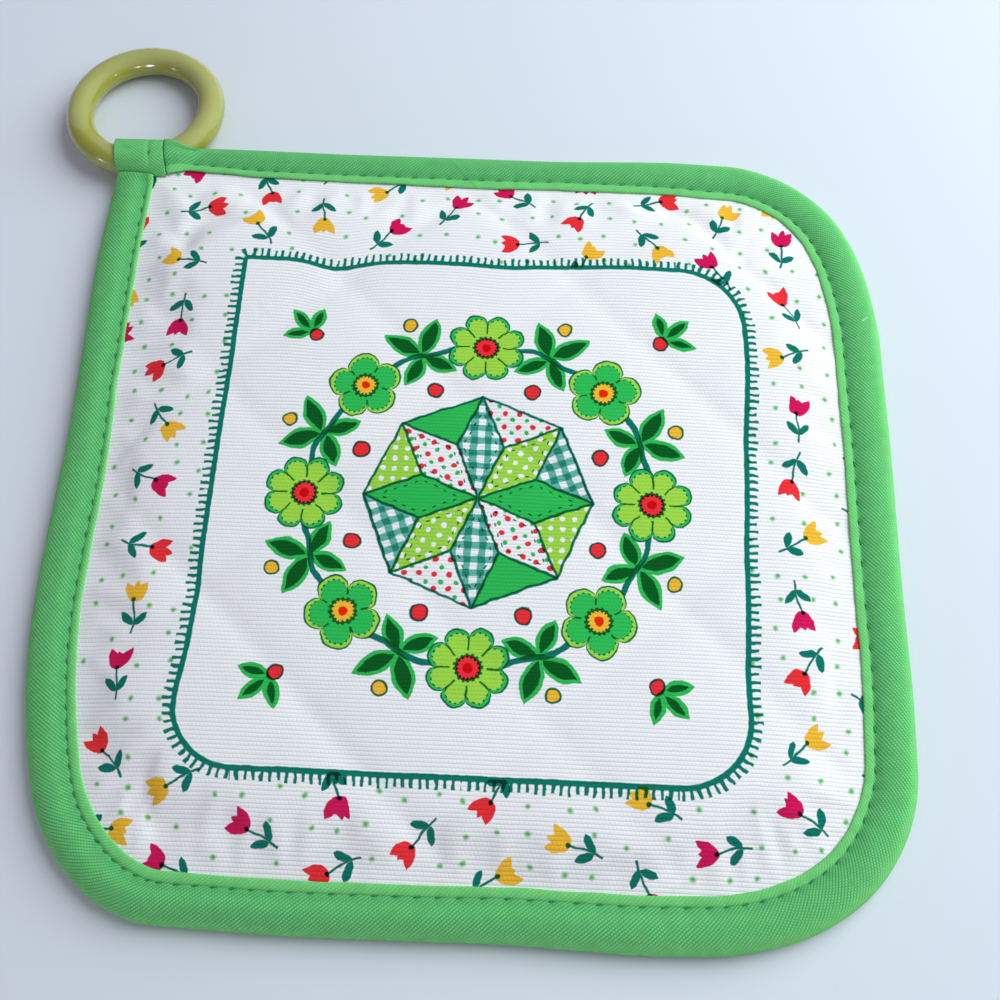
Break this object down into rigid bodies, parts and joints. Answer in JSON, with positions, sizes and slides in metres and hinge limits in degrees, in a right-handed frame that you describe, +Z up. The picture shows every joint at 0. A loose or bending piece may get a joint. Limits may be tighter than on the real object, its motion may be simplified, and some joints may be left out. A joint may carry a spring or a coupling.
{
  "type": "pot holder",
  "caption": "Square padded pot holder with a bound edge, three rounded corners and a hanging ring held in a cloth loop at the fourth.",
  "frame": {"origin": "middle of the pad's flat underside, on the surface that it lies on", "axes": "+Z up out of the printed face, +Y towards the side beside the ring, +X to the right with the ring at the far left corner"},
  "size_m": [0.1956, 0.2102, 0.0097],
  "materials": {
    "printed_cotton": "ribbed white cotton, printed on the face",
    "bias_tape": "matte woven cotton tape",
    "ring_plastic": "glossy, faintly marbled"
  },
  "bodies": {
    "root": {"pad": "printed_cotton", "binding": "bias_tape", "loop": "bias_tape", "ring": "ring_plastic"}
  },
  "joints": []
}
